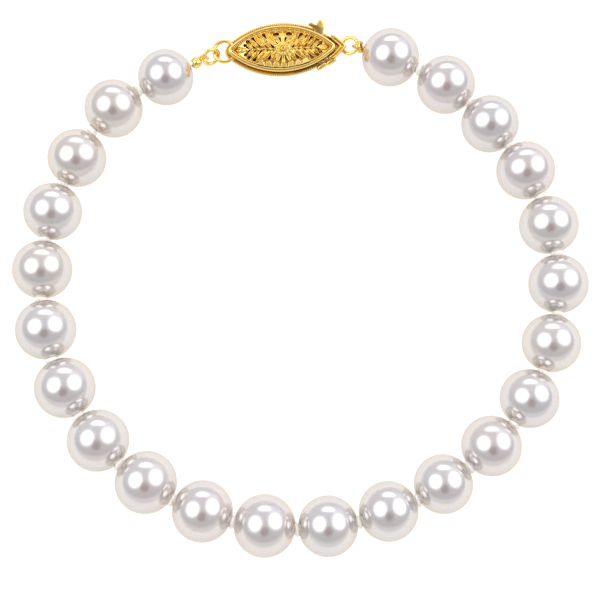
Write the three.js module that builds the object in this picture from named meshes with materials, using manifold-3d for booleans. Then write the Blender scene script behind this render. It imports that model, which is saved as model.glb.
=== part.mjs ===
// Knotted pearl bracelet with a marquise filigree clasp, lying in a loop on a flat surface.
// Millimetres, +Z up. The clasp lies on the +Y side of the loop, its thumb tab towards +Y.
import * as THREE from 'three';
import { mergeVertices } from 'three/addons/utils/BufferGeometryUtils.js';
import Module from 'manifold-3d';

const wasm = await Module();
wasm.setup();

// Driving sizes.
const PEARL_DIAMETER = 6.75; // middle of the 6.5 to 7 mm size
const DRILL_DIAMETER = 0.9; // hole through each pearl
const SILK_DIAMETER = 0.5; // doubled silk thread in the holes
const KNOT_DIAMETER = 1.4; // hand tied knot between two pearls
const KNOT_SPACE = 0.28; // free length that a knot takes between two pearls
const END_KNOT_SPACE = 0.58; // the same beside the clasp, where the string is looser
const WIRE_DIAMETER = 0.38; // jump rings and the soldered end ring
const LINK_RING_RADIUS = 0.97; // centre line of the two loose jump rings
const END_RING_RADIUS = 1.24; // centre line of the ring soldered to the clasp
const BEAD_TIP_DIAMETER = 1.3; // ball that hides the end knot
const HOOK_WIRE_DIAMETER = 0.26; // loop of a bead tip
const CASE_LENGTH = 13.35; // marquise case from tip to tip
const CASE_WIDTH = 6.19;
const CASE_TIP_RADIUS = 1.05; // the back plate's tips are rounded
const CLASP_TILT = 14; // degrees; the clasp leans on its edge towards the wearer's side
const RING_LINE = 0.85; // height of the rings' line above the clasp's back
const BACK_THICKNESS = 0.5; // flat back plate
const RAIL_BOTTOM = 1.32; // underside of the polished rail
const RAIL_TOP = 2.15;
const RAIL_WIDTH = 0.48;
const SHELL_INSET = 0.4; // the rail stands back from the back plate's edge
const WALL_INSET = 0.5;
const WALL_THICKNESS = 0.3;
const SHEET_BOTTOM = 1.5; // pierced sheet inside the rail
const SHEET_TOP = 1.85;
const FLOWER_HEIGHT = 2.75; // top of the bead in the flower
const END_CAP_REACH = 0.9; // V shaped end of the tongue beyond the case's tip
const FLOWER_SHIFT = 0.15; // the flower sits a little towards the tongue
const LEAF_BOTTOM = 0.7; // fixed leaf of the tongue, inside the case
const LEAF_THICKNESS = 0.2;
const LEVER_BOTTOM = 0.98; // flexing leaf with the thumb tab
const LEVER_THICKNESS = 0.22;
const PIVOT_RADIUS = 0.25;
const TAB_REACH = 1.3; // thumb tab beyond the back plate's rim
const LOBE_RADIUS = 0.3; // two grip lobes on the other side
const CLEARANCE = 0.12; // free play between metal pieces

// Each pearl's diameter as a share of PEARL_DIAMETER, from the clasp's left end round the loop.
const PEARL_SIZE_SHARES = [
  0.96, 0.998, 0.995, 0.985, 1.0, 1.015, 1.018, 1.032,
  1.032, 1.013, 1.03, 0.998, 0.988, 0.98, 1.004, 0.987,
  0.984, 1.003, 0.997, 0.997, 0.982, 1.0, 0.995,
];
const AXIAL_SHARE = 0.985; // a pearl is a little shorter along its hole than across it
const ACROSS_SHARE = 1.01;

// The loop's shape: points of a closed smooth route as shares of its half width,
// from the clasp's left end round the wearer's side to its right end. The route is
// scaled later to the real length of the string.
const ROUTE_SHARES = [
  { x: -0.294, y: 0.961 },
  { x: -0.425, y: 0.892 },
  { x: -0.543, y: 0.83 },
  { x: -0.746, y: 0.701 },
  { x: -0.981, y: 0.276 },
  { x: -0.995, y: -0.202 },
  { x: -0.779, y: -0.637 },
  { x: -0.379, y: -0.904 },
  { x: 0.098, y: -0.961 },
  { x: 0.541, y: -0.801 },
  { x: 0.881, y: -0.467 },
  { x: 1.001, y: -0.016 },
  { x: 0.883, y: 0.441 },
  { x: 0.575, y: 0.795 },
  { x: 0.353, y: 0.91 },
  { x: 0.272, y: 0.937 },
  { x: 0.222, y: 0.969 },
];
const ROUTE_HALF_WIDTH = (PEARL_DIAMETER * PEARL_SIZE_SHARES.length) / 5.37;

// Facet counts.
const PEARL_SIDES = 14;
const PEARL_ARC_STEPS = 8;
const WIRE_SIDES = 6;
const RING_STEPS = 14;
const OUTLINE_STEPS = 12;
const TIP_STEPS = 3;
const SILK_SIDES = 6;
const MOUND_SIDES = 6;

const UP = new THREE.Vector3(0, 0, 1);
const GOLD = { color: 0xe8b84a, roughness: 0.18, metalness: 1 };
const PEARL = { color: 0xf1ebe8, roughness: 0.22, metalness: 0.05 };
const SILK = { color: 0xf3eee2, roughness: 0.8, metalness: 0 };

// Solids and meshes.
function toSolid(geometry) {
  let plain = geometry.clone();
  for (const name of Object.keys(plain.attributes)) {
    if (name !== 'position') plain.deleteAttribute(name);
  }
  plain = mergeVertices(plain, 1e-4);
  return new wasm.Manifold(new wasm.Mesh({
    numProp: 3,
    vertProperties: new Float32Array(plain.attributes.position.array),
    triVerts: new Uint32Array(plain.index.array),
  }));
}

function toGeometry(solid) {
  const mesh = solid.getMesh();
  const geometry = new THREE.BufferGeometry();
  geometry.setAttribute('position', new THREE.BufferAttribute(mesh.vertProperties.slice(), 3));
  geometry.setIndex(new THREE.BufferAttribute(mesh.triVerts.slice(), 1));
  geometry.computeVertexNormals();
  return geometry;
}

function joined(geometries) {
  return geometries.map(toSolid).reduce((sum, solid) => sum.add(solid));
}

function named(name, geometry, look) {
  const mesh = new THREE.Mesh(geometry, new THREE.MeshStandardMaterial(look));
  mesh.name = name;
  return mesh;
}

// A frame whose local Y runs along `direction` and whose local +Z points down.
function lyingFrame(centre, direction) {
  const along = direction.clone().normalize();
  const down = UP.clone().negate();
  const side = new THREE.Vector3().crossVectors(along, down).normalize();
  const third = new THREE.Vector3().crossVectors(side, along);
  return new THREE.Matrix4().makeBasis(side, along, third).setPosition(centre);
}

// The route and the stations on it.
function routeCurve(scale) {
  const points = ROUTE_SHARES.map(({ x, y }) => new THREE.Vector3(x, y, 0)
    .multiplyScalar(ROUTE_HALF_WIDTH * scale));
  return new THREE.CatmullRomCurve3(points, true, 'centripetal');
}

// The first parameter after `from` whose point is `distance` away from `start`.
function nextParameter(curve, from, start, distance) {
  let low = from;
  let high = from;
  while (curve.getPoint(high).distanceTo(start) < distance) high += 0.004;
  for (let step = 0; step < 30; step += 1) {
    const middle = (low + high) / 2;
    if (curve.getPoint(middle).distanceTo(start) < distance) low = middle;
    else high = middle;
  }
  return high;
}

const pearlDiameters = PEARL_SIZE_SHARES.map((share) => share * PEARL_DIAMETER);
const BALL_TO_PEARL = (pearlDiameters[0] / 2) * AXIAL_SHARE + BEAD_TIP_DIAMETER * 0.6;
const CUP_TO_PEARL = (pearlDiameters.at(-1) / 2) * AXIAL_SHARE + BEAD_TIP_DIAMETER * 0.37;
const END_RING_X = -CASE_LENGTH / 2 - 0.05;
const TONGUE_RING_X = CASE_LENGTH / 2 + END_CAP_REACH - 0.59 + LINK_RING_RADIUS;
const RINGS_APART = (LINK_RING_RADIUS + END_RING_RADIUS) * 0.775;
const BALL_TO_RING = LINK_RING_RADIUS + BEAD_TIP_DIAMETER * 0.8;
const CUP_TO_RING = LINK_RING_RADIUS + BEAD_TIP_DIAMETER * 0.26;

// Free length between pearls k and k + 1, counted from 1.
function knotSpace(k) {
  return k <= 2 || k === pearlDiameters.length - 1 ? END_KNOT_SPACE : KNOT_SPACE;
}

// Plan distances between the pieces, in order round the loop from the end ring.
function pieceDistances() {
  const distances = [RINGS_APART, BALL_TO_RING, BALL_TO_PEARL];
  for (let k = 1; k < pearlDiameters.length; k += 1) {
    const pair = (pearlDiameters[k - 1] + pearlDiameters[k]) / 2;
    distances.push(pair * AXIAL_SHARE + knotSpace(k));
  }
  distances.push(CUP_TO_PEARL, CUP_TO_RING);
  return distances;
}

function walk(scale) {
  const curve = routeCurve(scale);
  const stations = [curve.getPoint(0)];
  let parameter = 0;
  for (const distance of pieceDistances()) {
    parameter = nextParameter(curve, parameter, stations.at(-1), distance);
    stations.push(curve.getPoint(parameter));
  }
  return stations;
}

// The route is scaled until the last piece meets the clasp's other end.
function closedStations() {
  const clasp = TONGUE_RING_X - END_RING_X;
  let low = 0.6;
  let high = 1.6;
  for (let step = 0; step < 40; step += 1) {
    const middle = (low + high) / 2;
    const stations = walk(middle);
    const left = stations.at(-1).distanceTo(stations[0]);
    const spans = left < clasp || stations.at(-1).x < stations[0].x;
    if (spans) low = middle;
    else high = middle;
  }
  return walk(high);
}

const stations = closedStations();
const endRingAt = stations[0].clone();
const leftRingAt = stations[1].clone();
const leftTipAt = stations[2].clone();
const pearlsAt = stations.slice(3, 3 + pearlDiameters.length);
const rightTipAt = stations.at(-2).clone();
const rightRingAt = stations.at(-1).clone();
pearlsAt.forEach((point, k) => point.setZ((pearlDiameters[k] * ACROSS_SHARE) / 2));

// The clasp stands on the lower edge of its back plate, and the string holds its ends up.
const claspTilt = THREE.MathUtils.degToRad(CLASP_TILT);
const claspLift = (CASE_WIDTH / 2) * Math.sin(claspTilt);
endRingAt.z = claspLift + RING_LINE * Math.cos(claspTilt);
leftRingAt.z = endRingAt.z + 0.1;
rightRingAt.z = endRingAt.z + 0.4;
leftTipAt.z = PEARL_DIAMETER * 0.4;
rightTipAt.z = PEARL_DIAMETER * 0.45;

// Pearls.
function pearlGeometry(diameter) {
  const across = (diameter * ACROSS_SHARE) / 2;
  const along = (diameter * AXIAL_SHARE) / 2;
  const hole = DRILL_DIAMETER / 2;
  const edge = Math.acos(hole / across);
  const profile = [];
  for (let step = 0; step <= PEARL_ARC_STEPS; step += 1) {
    const angle = -edge + (2 * edge * step) / PEARL_ARC_STEPS;
    profile.push(new THREE.Vector2(across * Math.cos(angle), along * Math.sin(angle)));
  }
  profile.push(profile[0].clone());
  return new THREE.LatheGeometry(profile, PEARL_SIDES);
}

function pearlDirection(k) {
  const before = k === 0 ? leftTipAt : pearlsAt[k - 1];
  const after = k === pearlsAt.length - 1 ? rightTipAt : pearlsAt[k + 1];
  const direction = new THREE.Vector3().subVectors(after, before);
  if (k > 0 && k < pearlsAt.length - 1) direction.z = 0;
  else direction.z *= 0.7;
  return direction.normalize();
}

function pearlMesh(k) {
  const name = `pearl_${String(k + 1).padStart(2, '0')}`;
  const mesh = named(name, pearlGeometry(pearlDiameters[k]), PEARL);
  mesh.applyMatrix4(lyingFrame(pearlsAt[k], pearlDirection(k)));
  return mesh;
}

// Silk: one thread with a knot between each two pearls.
function ringsLoft(rings, sides) {
  const positions = [];
  for (const { centre, direction, radius } of rings) {
    const side = new THREE.Vector3().crossVectors(direction, UP).normalize();
    const top = new THREE.Vector3().crossVectors(side, direction);
    for (let k = 0; k < sides; k += 1) {
      const angle = (2 * Math.PI * k) / sides;
      const point = centre.clone()
        .addScaledVector(side, radius * Math.cos(angle))
        .addScaledVector(top, radius * Math.sin(angle));
      positions.push(point.x, point.y, point.z);
    }
  }
  const index = [];
  for (let r = 0; r + 1 < rings.length; r += 1) {
    for (let k = 0; k < sides; k += 1) {
      const a = r * sides + k;
      const b = r * sides + ((k + 1) % sides);
      index.push(a, b, a + sides, b, b + sides, a + sides);
    }
  }
  const last = (rings.length - 1) * sides;
  for (let k = 1; k + 1 < sides; k += 1) {
    index.push(0, k + 1, k, last, last + k, last + k + 1);
  }
  const geometry = new THREE.BufferGeometry();
  geometry.setAttribute('position', new THREE.Float32BufferAttribute(positions, 3));
  geometry.setIndex(index);
  return geometry;
}

function facingOut(geometry) {
  const solid = toSolid(geometry);
  if (solid.volume() > 0) return geometry;
  const flipped = geometry.clone();
  const index = flipped.index.array;
  for (let k = 0; k < index.length; k += 3) [index[k], index[k + 1]] = [index[k + 1], index[k]];
  return flipped;
}

function holeEnds(k) {
  const direction = pearlDirection(k);
  const reach = (pearlDiameters[k] * AXIAL_SHARE) / 2;
  return {
    direction,
    entry: pearlsAt[k].clone().addScaledVector(direction, -reach),
    exit: pearlsAt[k].clone().addScaledVector(direction, reach),
  };
}

function knotRings(k) {
  const from = holeEnds(k);
  const to = holeEnds(k + 1);
  const direction = from.direction.clone().add(to.direction).normalize();
  const middle = from.exit.clone().lerp(to.entry, 0.5);
  const half = KNOT_SPACE * 0.3;
  const silk = SILK_DIAMETER / 2;
  const stages = [[-1.35, silk * 1.15], [-1, KNOT_DIAMETER * 0.36], [-0.5, KNOT_DIAMETER / 2],
    [0.5, KNOT_DIAMETER / 2], [1, KNOT_DIAMETER * 0.36], [1.35, silk * 1.15]];
  return stages.map(([share, radius]) => ({
    centre: middle.clone().addScaledVector(direction, share * half), direction, radius,
  }));
}

function silkGeometry() {
  const rings = [];
  const radius = SILK_DIAMETER / 2;
  const first = holeEnds(0);
  const last = holeEnds(pearlsAt.length - 1);
  const start = new THREE.Vector3().subVectors(first.entry, leftTipAt).normalize();
  const end = new THREE.Vector3().subVectors(rightTipAt, last.exit).normalize();
  const inTip = BEAD_TIP_DIAMETER * 0.3;
  rings.push({ centre: leftTipAt.clone().addScaledVector(start, inTip), direction: start, radius });
  pearlsAt.forEach((_, k) => {
    const { direction, entry, exit } = holeEnds(k);
    const inset = pearlDiameters[k] * 0.06;
    rings.push({ centre: entry.clone().addScaledVector(direction, inset), direction, radius });
    rings.push({ centre: exit.clone().addScaledVector(direction, -inset), direction, radius });
    if (k + 1 < pearlsAt.length) rings.push(...knotRings(k));
  });
  rings.push({ centre: rightTipAt.clone().addScaledVector(end, -inTip), direction: end, radius });
  return facingOut(ringsLoft(rings, SILK_SIDES));
}

// Jump rings and bead tips.
function ringGeometry(radius, wire) {
  return new THREE.TorusGeometry(radius, wire / 2, WIRE_SIDES, RING_STEPS);
}

// A ring whose plane holds the line `along` and leans by `lean` degrees about it.
function leaningFrame(centre, along, lean) {
  const x = along.clone().normalize();
  const flat = new THREE.Vector3().crossVectors(UP, x).normalize();
  const z = new THREE.Vector3().crossVectors(x, flat);
  return new THREE.Matrix4().makeBasis(x, flat, z).setPosition(centre)
    .multiply(new THREE.Matrix4().makeRotationX(THREE.MathUtils.degToRad(lean)));
}

const END_RING_LEAN = -12; // from the plane of the back plate
const LEFT_RING_LEAN = 58;
const RIGHT_RING_LEAN = 12;
const RING_SLOPE_SHARE = 0.4; // a ring lies flatter than the line from end to end

function linkFrame(ringAt, from, to, lean) {
  const along = new THREE.Vector3().subVectors(to, from);
  along.z *= RING_SLOPE_SHARE;
  return leaningFrame(ringAt, along, lean);
}

const leftRingFrame = linkFrame(leftRingAt, leftTipAt, endRingAt, LEFT_RING_LEAN);
const rightRingFrame = linkFrame(rightRingAt, rightRingAt, rightTipAt, RIGHT_RING_LEAN);

function tipBody(radius, length, waist) {
  const bore = SILK_DIAMETER / 2 + CLEARANCE;
  const half = length / 2;
  const profile = [[0, half * 0.3], [bore, half * 0.3], [bore, half * 0.68],
    [radius * 0.86, half * 0.58], [radius, half * 0.3], [radius * waist, 0],
    [radius, -half * 0.36], [radius * 0.7, -half * 0.78], [0, -half]];
  const points = profile.map(([x, y]) => new THREE.Vector2(x, y)).reverse();
  return new THREE.LatheGeometry(points, 12);
}

// The loop of a bead tip goes round the ring's wire, its opening across the wire.
function tipGeometry(tipAt, ringFrame, ringAt, threadTo, waist, bodyLength) {
  const towardsPearl = new THREE.Vector3().subVectors(threadTo, tipAt).normalize();
  const body = tipBody(BEAD_TIP_DIAMETER / 2, bodyLength, waist);
  body.applyMatrix4(lyingFrame(tipAt, towardsPearl));
  const ringNormal = new THREE.Vector3(0, 0, 1).transformDirection(ringFrame);
  const towardsTip = new THREE.Vector3().subVectors(tipAt, ringAt);
  towardsTip.addScaledVector(ringNormal, -towardsTip.dot(ringNormal)).normalize();
  const wireAt = ringAt.clone().addScaledVector(towardsTip, LINK_RING_RADIUS);
  const wireRun = new THREE.Vector3().crossVectors(ringNormal, towardsTip);
  const reach = new THREE.Vector3().subVectors(tipAt, wireAt);
  const along = reach.clone().addScaledVector(wireRun, -reach.dot(wireRun)).normalize();
  const third = new THREE.Vector3().crossVectors(wireRun, along);
  const hookRadius = (WIRE_DIAMETER + HOOK_WIRE_DIAMETER) / 2 + CLEARANCE;
  const hook = ringGeometry(hookRadius, HOOK_WIRE_DIAMETER);
  hook.applyMatrix4(new THREE.Matrix4().makeBasis(along, third, wireRun).setPosition(wireAt));
  const armStart = wireAt.clone().addScaledVector(along, hookRadius);
  const arm = new THREE.Vector3().subVectors(tipAt, armStart);
  const neck = new THREE.CylinderGeometry(HOOK_WIRE_DIAMETER / 2, HOOK_WIRE_DIAMETER / 2,
    arm.length() * 0.62, WIRE_SIDES);
  neck.applyMatrix4(lyingFrame(armStart.clone().addScaledVector(arm, 0.31), arm));
  return toGeometry(joined([body, hook, neck]));
}

// Clasp outline.
// Two long arcs joined by a small round tip at each end. An inset keeps all centres,
// and once it is larger than the tip's radius, the long arcs meet in a point.
const TIP_CENTRE = CASE_LENGTH / 2 - CASE_TIP_RADIUS;
const ARC_RADIUS = (TIP_CENTRE ** 2 + CASE_WIDTH ** 2 / 4 - CASE_TIP_RADIUS ** 2)
  / (CASE_WIDTH - 2 * CASE_TIP_RADIUS);
const ARC_DROP = ARC_RADIUS - CASE_WIDTH / 2;

function halfWidthAt(x, inset = 0) {
  return Math.sqrt(Math.max((ARC_RADIUS - inset) ** 2 - x * x, 0)) - ARC_DROP;
}

function arcPoints(x, y, radius, from, to, steps) {
  return Array.from({ length: steps }, (_, step) => {
    const angle = from + ((to - from) * step) / steps;
    return new THREE.Vector2(x + radius * Math.cos(angle), y + radius * Math.sin(angle));
  });
}

function marquise(inset, shift = 0, pointed = false) {
  const radius = ARC_RADIUS - inset;
  const tipRadius = CASE_TIP_RADIUS - inset;
  const round = !pointed && tipRadius > 0.05;
  const reach = round ? Math.atan2(TIP_CENTRE, ARC_DROP) : Math.acos(ARC_DROP / radius);
  const quarter = Math.PI / 2;
  const points = [];
  for (const side of [1, -1]) {
    const turn = side * quarter;
    points.push(...arcPoints(shift, -ARC_DROP * side, radius, turn - reach, turn + reach,
      OUTLINE_STEPS));
    if (round) {
      points.push(...arcPoints(shift - TIP_CENTRE * side, 0, tipRadius, turn + reach,
        turn + Math.PI - reach, TIP_STEPS));
    } else points.push(...arcPoints(shift, -ARC_DROP * side, radius, turn + reach, turn, 1));
  }
  return points;
}

function plate(points, bottom, top, holes = [], bevel = 0) {
  const shape = new THREE.Shape(points);
  shape.holes = holes.map((hole) => new THREE.Path(hole));
  const geometry = new THREE.ExtrudeGeometry(shape, {
    depth: top - bottom - 2 * bevel,
    bevelEnabled: bevel > 0,
    bevelThickness: bevel,
    bevelSize: bevel,
    bevelOffset: -bevel,
    bevelSegments: 1,
    steps: 1,
  });
  geometry.translate(0, 0, bottom + bevel);
  return geometry;
}

function block(x0, x1, y0, y1, z0, z1) {
  const geometry = new THREE.BoxGeometry(x1 - x0, y1 - y0, z1 - z0);
  geometry.translate((x0 + x1) / 2, (y0 + y1) / 2, (z0 + z1) / 2);
  return geometry;
}

// Pierced leaf and flower work.
const FIELD_INSET = SHELL_INSET + RAIL_WIDTH;
const PETALS = 10;
const PETAL_INNER = 0.36;
const LEAF_ROWS = 4;
const LEAF_SLANT = 48;
const flowerReach = halfWidthAt(0, FIELD_INSET);
const sprigStart = flowerReach * 0.74;
const fieldTip = Math.sqrt((ARC_RADIUS - FIELD_INSET) ** 2 - ARC_DROP ** 2);
const sprigStep = (fieldTip - 0.75 - sprigStart) / (LEAF_ROWS + 0.6);

function petalReach(angle) {
  return flowerReach * (0.66 + 0.22 * Math.abs(Math.sin(angle)));
}

// Places of the slanted leaves (offset 0) or of the gaps between them (offset 0.5).
function sprigPlaces(offset) {
  const places = [];
  const slant = THREE.MathUtils.degToRad(LEAF_SLANT);
  for (const end of [1, -1]) {
    for (const side of [1, -1]) {
      for (let row = 0; row < LEAF_ROWS; row += 1) {
        const foot = sprigStart + sprigStep * (row + offset);
        const rise = halfWidthAt(foot + sprigStep * 0.9, FIELD_INSET) * 0.86;
        const length = rise / Math.sin(slant);
        const middle = foot + (rise / Math.tan(slant)) * 0.5;
        places.push({
          x: FLOWER_SHIFT * (1 - row / LEAF_ROWS) + end * middle,
          y: side * rise * 0.54,
          turn: end * side * slant,
          length,
        });
      }
    }
  }
  return places;
}

function mound(x, y, turn, length, width, top) {
  const geometry = new THREE.SphereGeometry(1, MOUND_SIDES, 4);
  geometry.rotateX(Math.PI / 2);
  geometry.scale(length / 2, width / 2, top - SHEET_TOP + 0.05);
  geometry.rotateZ(turn);
  geometry.translate(x, y, SHEET_TOP - 0.05);
  return geometry;
}

function gapPrism(x, y, turn, length, width) {
  const geometry = new THREE.CylinderGeometry(1, 1, 1, 6);
  geometry.rotateX(Math.PI / 2);
  geometry.rotateZ(Math.PI / 6);
  geometry.scale(length / 2, width / 2, SHEET_TOP - SHEET_BOTTOM + 0.2);
  geometry.rotateZ(turn);
  geometry.translate(x, y, (SHEET_TOP + SHEET_BOTTOM) / 2);
  return geometry;
}

function reliefPieces() {
  const pieces = [];
  for (let k = 0; k < PETALS; k += 1) {
    const angle = (2 * Math.PI * (k + 0.5)) / PETALS;
    const reach = petalReach(angle);
    const middle = (reach + PETAL_INNER) / 2;
    pieces.push(mound(FLOWER_SHIFT + middle * Math.cos(angle), middle * Math.sin(angle), angle,
      reach - PETAL_INNER * 0.6, flowerReach * 0.3, SHEET_TOP + 0.34));
  }
  for (const { x, y, turn, length } of sprigPlaces(0)) {
    pieces.push(mound(x, y, turn, length * 0.86, sprigStep * 0.46, SHEET_TOP + 0.26));
  }
  const tip = fieldTip - sprigStep * 1.15;
  for (const end of [1, -1]) {
    pieces.push(mound(end * tip, 0, 0, sprigStep * 1.1, sprigStep * 0.5, SHEET_TOP + 0.24));
    pieces.push(mound(end * (sprigStart + tip) * 0.5, 0, 0, (tip - sprigStart) * 1.05,
      sprigStep * 0.2, SHEET_TOP + 0.16));
  }
  const bead = new THREE.SphereGeometry(flowerReach * 0.19, 10, 6);
  bead.rotateX(Math.PI / 2);
  bead.translate(FLOWER_SHIFT, 0, FLOWER_HEIGHT - flowerReach * 0.19);
  const cone = new THREE.CylinderGeometry(flowerReach * 0.15, flowerReach * 0.3,
    FLOWER_HEIGHT - flowerReach * 0.19 - SHEET_TOP + 0.1, 10);
  cone.rotateX(Math.PI / 2);
  cone.translate(FLOWER_SHIFT, 0, (FLOWER_HEIGHT - flowerReach * 0.19 + SHEET_TOP - 0.1) / 2);
  pieces.push(bead, cone);
  return pieces;
}

function gapPieces() {
  const pieces = [];
  for (let k = 0; k < PETALS; k += 1) {
    const angle = (2 * Math.PI * k) / PETALS;
    const reach = petalReach(angle);
    pieces.push(gapPrism(FLOWER_SHIFT + reach * 0.86 * Math.cos(angle),
      reach * 0.86 * Math.sin(angle), angle, reach * 0.46, flowerReach * 0.16));
  }
  for (const { x, y, turn, length } of sprigPlaces(0.5)) {
    pieces.push(gapPrism(x, y, turn, length * 0.62, sprigStep * 0.26));
  }
  return pieces;
}

// Clasp case: back, wall, rail, pierced sheet and end ring, soldered together.
const SLOT_FROM_UPPER = CASE_LENGTH * 0.2; // the wall ends here on the thumb tab's side
const SLOT_FROM_LOWER = CASE_LENGTH * 0.1;

function endRingGeometry() {
  const ring = ringGeometry(END_RING_RADIUS, WIRE_DIAMETER);
  ring.rotateX(THREE.MathUtils.degToRad(END_RING_LEAN));
  ring.translate(END_RING_X, 0, RING_LINE);
  return ring;
}

function caseGeometry() {
  const back = plate(marquise(0), 0, BACK_THICKNESS);
  const rim = plate(marquise(0.02), BACK_THICKNESS - 0.05, BACK_THICKNESS + 0.1,
    [marquise(SHELL_INSET - 0.1)]);
  const wall = plate(marquise(WALL_INSET), BACK_THICKNESS - 0.05, RAIL_BOTTOM + 0.1,
    [marquise(WALL_INSET + WALL_THICKNESS)]);
  const rail = plate(marquise(SHELL_INSET), RAIL_BOTTOM, RAIL_TOP,
    [marquise(SHELL_INSET + RAIL_WIDTH)], RAIL_WIDTH * 0.3);
  const sheet = plate(marquise(FIELD_INSET - 0.22), SHEET_BOTTOM, SHEET_TOP);
  const far = CASE_LENGTH;
  const slots = joined([
    block(SLOT_FROM_UPPER, far, 0, far, BACK_THICKNESS - 0.02, RAIL_BOTTOM - 0.02),
    block(SLOT_FROM_LOWER, far, -far, 0.1, BACK_THICKNESS - 0.02, RAIL_BOTTOM - 0.02),
  ]);
  const openWall = toSolid(wall).subtract(slots);
  const pierced = toSolid(sheet).subtract(joined(gapPieces()));
  const whole = toSolid(back).add(toSolid(rim)).add(openWall).add(toSolid(rail)).add(pierced)
    .add(joined(reliefPieces())).add(toSolid(endRingGeometry()));
  return toGeometry(whole);
}

// Tongue: fixed leaf with the V shaped end, the lower grip and the pivot.
const PIVOT_X = -CASE_LENGTH * 0.17;
const LEVER_EYE = PIVOT_RADIUS + CLEARANCE + 0.28;
const TAB_X = CASE_LENGTH * 0.349;

function disc(x, y, radius, bottom, top, sides = 12) {
  const geometry = new THREE.CylinderGeometry(radius, radius, top - bottom, sides);
  geometry.rotateX(Math.PI / 2);
  geometry.translate(x, y, (bottom + top) / 2);
  return geometry;
}

// A straight bar in plan from (x0, y0) to (x1, y1).
function bar(x0, y0, x1, y1, width, bottom, top) {
  const length = Math.hypot(x1 - x0, y1 - y0);
  const geometry = new THREE.BoxGeometry(length, width, top - bottom);
  geometry.rotateZ(Math.atan2(y1 - y0, x1 - x0));
  geometry.translate((x0 + x1) / 2, (y0 + y1) / 2, (bottom + top) / 2);
  return geometry;
}

// A bar with round ends.
function capsule(x0, y0, x1, y1, radius, bottom, top) {
  const turn = Math.atan2(y1 - y0, x1 - x0);
  const quarter = Math.PI / 2;
  const points = [
    ...arcPoints(x1, y1, radius, turn - quarter, turn + quarter, 5),
    ...arcPoints(x1, y1, radius, turn + quarter, turn + quarter * 2, 1),
    ...arcPoints(x0, y0, radius, turn + quarter, turn + 3 * quarter, 5),
    ...arcPoints(x0, y0, radius, turn + 3 * quarter, turn, 1),
  ];
  return plate(points, bottom, top, [], radius * 0.3);
}

// The clasp's own frame: X from the end ring to the tongue's ring, Z out of its back plate.
const claspX = new THREE.Vector3().subVectors(rightRingAt, endRingAt).setZ(0).normalize();
const claspFrame = new THREE.Matrix4()
  .makeBasis(claspX, new THREE.Vector3().crossVectors(UP, claspX), UP)
  .setPosition(endRingAt.clone().setZ(0).addScaledVector(claspX, -END_RING_X))
  .multiply(new THREE.Matrix4()
    .makeTranslation(0, RING_LINE * Math.sin(claspTilt), claspLift))
  .multiply(new THREE.Matrix4().makeRotationX(claspTilt));

// Room for the jump ring's wire through the V shaped end.
function ringTunnel() {
  const tunnel = ringGeometry(LINK_RING_RADIUS, WIRE_DIAMETER + 3 * CLEARANCE);
  return tunnel.applyMatrix4(claspFrame.clone().invert().multiply(rightRingFrame));
}

// Two ribs that follow the rail's tip, with a groove between them.
function endCapSolid() {
  const bottom = LEAF_BOTTOM;
  const top = RAIL_TOP - 0.05;
  const pointX = Math.sqrt(ARC_RADIUS ** 2 - ARC_DROP ** 2);
  const shift = CASE_LENGTH / 2 + END_CAP_REACH - pointX;
  const outer = toSolid(plate(marquise(0, shift, true), bottom, top, [], 0.08));
  const inner = toSolid(plate(marquise(SHELL_INSET - CLEARANCE), bottom - 1, top + 1));
  const groove = toSolid(plate(marquise(0, shift - 0.32, true), top - 0.16, top + 1))
    .subtract(toSolid(plate(marquise(0, shift - 0.44, true), top - 1, top + 2)));
  const armsEnd = CASE_LENGTH * 0.432;
  const keep = toSolid(block(armsEnd, CASE_LENGTH, -CASE_WIDTH, CASE_WIDTH, -1, 5));
  return outer.subtract(inner).subtract(groove).intersect(keep).subtract(toSolid(ringTunnel()));
}

function gripLobes() {
  const bottom = LEAF_BOTTOM;
  const top = LEAF_BOTTOM + 0.5;
  const place = (x, out) => [TAB_X + x, -halfWidthAt(TAB_X + x) - out];
  const lobes = [[place(-0.36, 0.26), place(0.29, 0.2)], [place(0.74, 0.35), place(1.36, 0.45)]];
  const pieces = lobes.map(([from, to]) => capsule(...from, ...to, LOBE_RADIUS, bottom, top));
  const links = [[lobes[0][1], [TAB_X - 0.9, -0.9]], [lobes[1][0], [TAB_X + 0.1, -0.75]]];
  for (const [from, to] of links) {
    pieces.push(bar(...from, ...to, LOBE_RADIUS * 1.8, bottom, bottom + LEAF_THICKNESS));
  }
  return pieces;
}

function tongueGeometry() {
  const top = LEAF_BOTTOM + LEAF_THICKNESS;
  const tipX = CASE_LENGTH / 2 + END_CAP_REACH / 6;
  const pieces = [
    disc(PIVOT_X, 0, LEVER_EYE, LEAF_BOTTOM, top),
    disc(PIVOT_X, 0, PIVOT_RADIUS, LEAF_BOTTOM, LEVER_BOTTOM + LEVER_THICKNESS),
    bar(PIVOT_X, 0, TAB_X - 0.6, -0.8, 0.9, LEAF_BOTTOM, top),
    bar(TAB_X - 1.2, -0.75, tipX, 0, 0.62, LEAF_BOTTOM, top),
    ...gripLobes(),
  ];
  return toGeometry(joined(pieces).add(endCapSolid()));
}

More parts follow.
